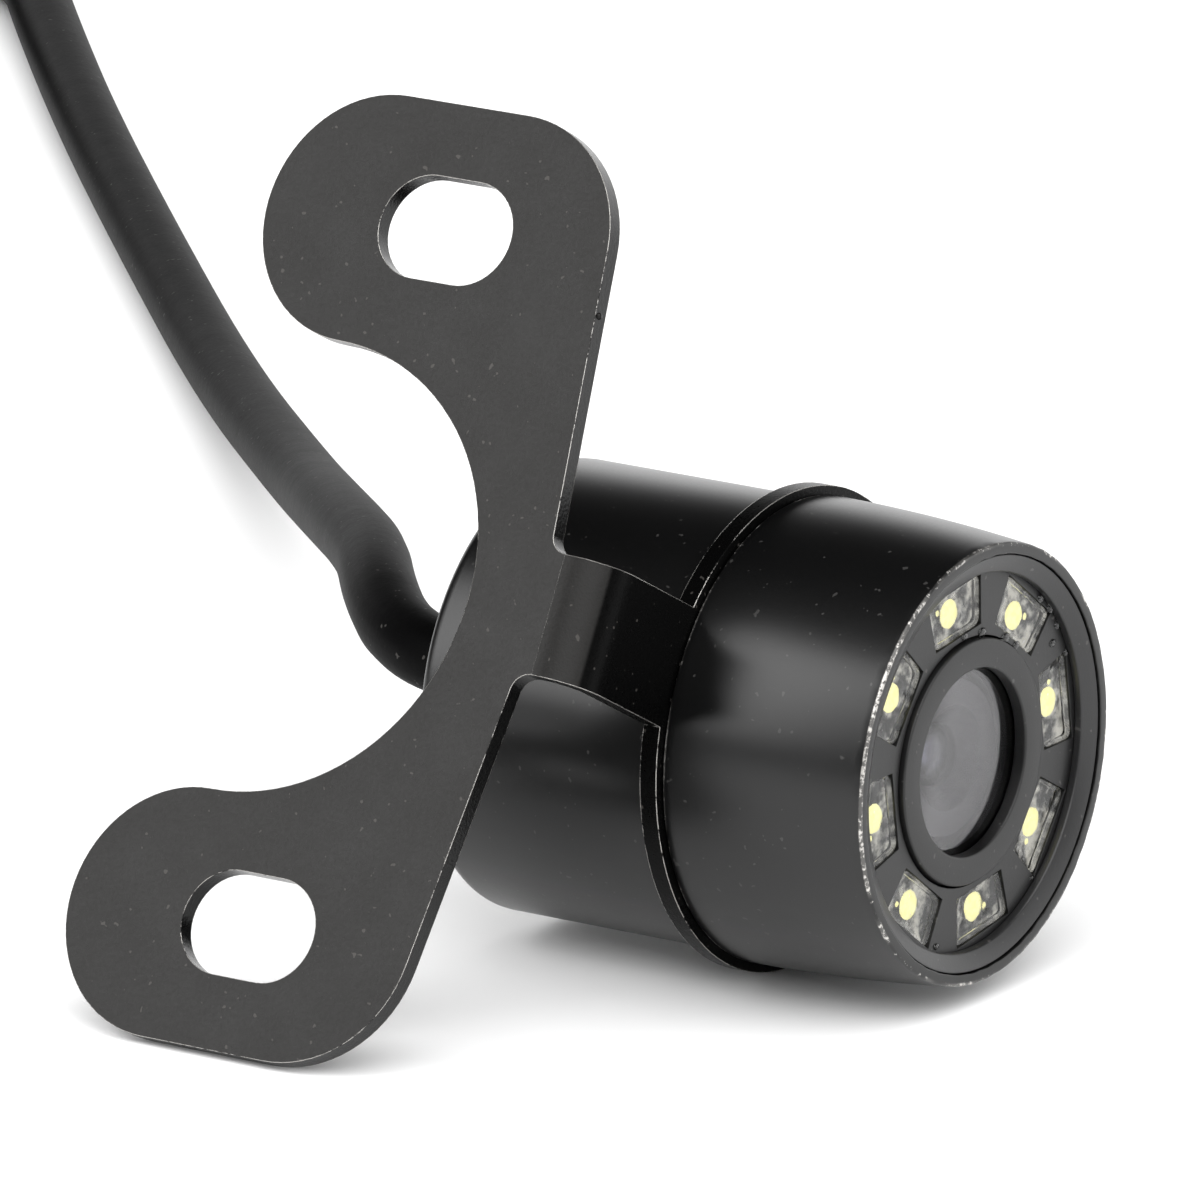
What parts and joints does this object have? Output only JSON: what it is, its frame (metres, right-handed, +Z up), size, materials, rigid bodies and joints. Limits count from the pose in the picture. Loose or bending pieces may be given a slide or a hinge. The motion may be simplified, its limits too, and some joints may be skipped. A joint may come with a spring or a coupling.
{
  "type": "backup camera",
  "caption": "Small barrel-shaped reversing camera with a ring of lights round its lens, held in a folded two-ear bracket, with its lead coiled.",
  "frame": {"origin": "on the floor, under the middle of the camera's and the bracket's box, without the lead", "axes": "+X along the barrel, out of the lens; +Z up; -Y towards the side that the mounting plate leans out on"},
  "size_m": [0.2169, 0.1854, 0.0448],
  "materials": {
    "bracket_paint": "matte",
    "black_metal": "satin",
    "face_plastic": "matte",
    "clear_plastic": "gloss",
    "light_phosphor": "satin",
    "lens_glass": "gloss",
    "rubber": "matte",
    "circuit_board": "satin",
    "chip": "matte",
    "steel": "satin",
    "lens_plastic": "matte",
    "connector_plastic": "satin",
    "resin": "gloss",
    "cable_jacket": "satin",
    "wire_jacket": "satin",
    "tie_plastic": "satin",
    "plug_plastic": "matte",
    "plug_collar_plastic": "satin",
    "contact_metal": "gloss"
  },
  "bodies": {
    "bracket": {"bracket": "bracket_paint", "cable_tube": "cable_jacket", "cable_coil": "cable_jacket", "cable_tail": "cable_jacket", "cable_tie": "tie_plastic", "plug_boot": "plug_plastic", "plug_body": "plug_plastic", "plug_collar": "plug_collar_plastic", "plug_insert": "plug_plastic", "plug_pins": "contact_metal"},
    "head": {"board_header": "chip", "board_spacers": "steel", "cover_glass": "lens_glass", "front_bezel_ring": "face_plastic", "front_lens": "lens_glass", "front_shell": "black_metal", "glass_seal": "rubber", "holder_screws": "steel", "image_sensor": "chip", "ir_filter": "lens_glass", "lead_connector": "connector_plastic", "lead_end": "cable_jacket", "lead_wires": "wire_jacket", "led_1": "light_phosphor", "led_2": "light_phosphor", "led_3": "light_phosphor", "led_4": "light_phosphor", "led_5": "light_phosphor", "led_6": "light_phosphor", "led_7": "light_phosphor", "led_8": "light_phosphor", "led_face_plate": "face_plastic", "led_ring_board": "circuit_board", "led_window_1": "clear_plastic", "led_window_2": "clear_plastic", "led_window_3": "clear_plastic", "led_window_4": "clear_plastic", "led_window_5": "clear_plastic", "led_window_6": "clear_plastic", "led_window_7": "clear_plastic", "led_window_8": "clear_plastic", "lens_barrel": "lens_plastic", "lens_bezel": "face_plastic", "lens_holder": "lens_plastic", "lens_spacer": "lens_plastic", "potting": "resin", "power_board": "circuit_board", "power_chip": "chip", "power_choke": "chip", "rear_housing": "black_metal", "rear_lens": "lens_glass", "sensor_board": "circuit_board", "shell_seal": "rubber", "strain_relief": "rubber"}
  },
  "joints": [
    {"name": "head_turn", "type": "hinge", "parent": "bracket", "child": "head", "pos_m": [0, 0.00887, 0.0127], "axis": [1, 0, 0], "range_deg": [-180, 180]}
  ]
}
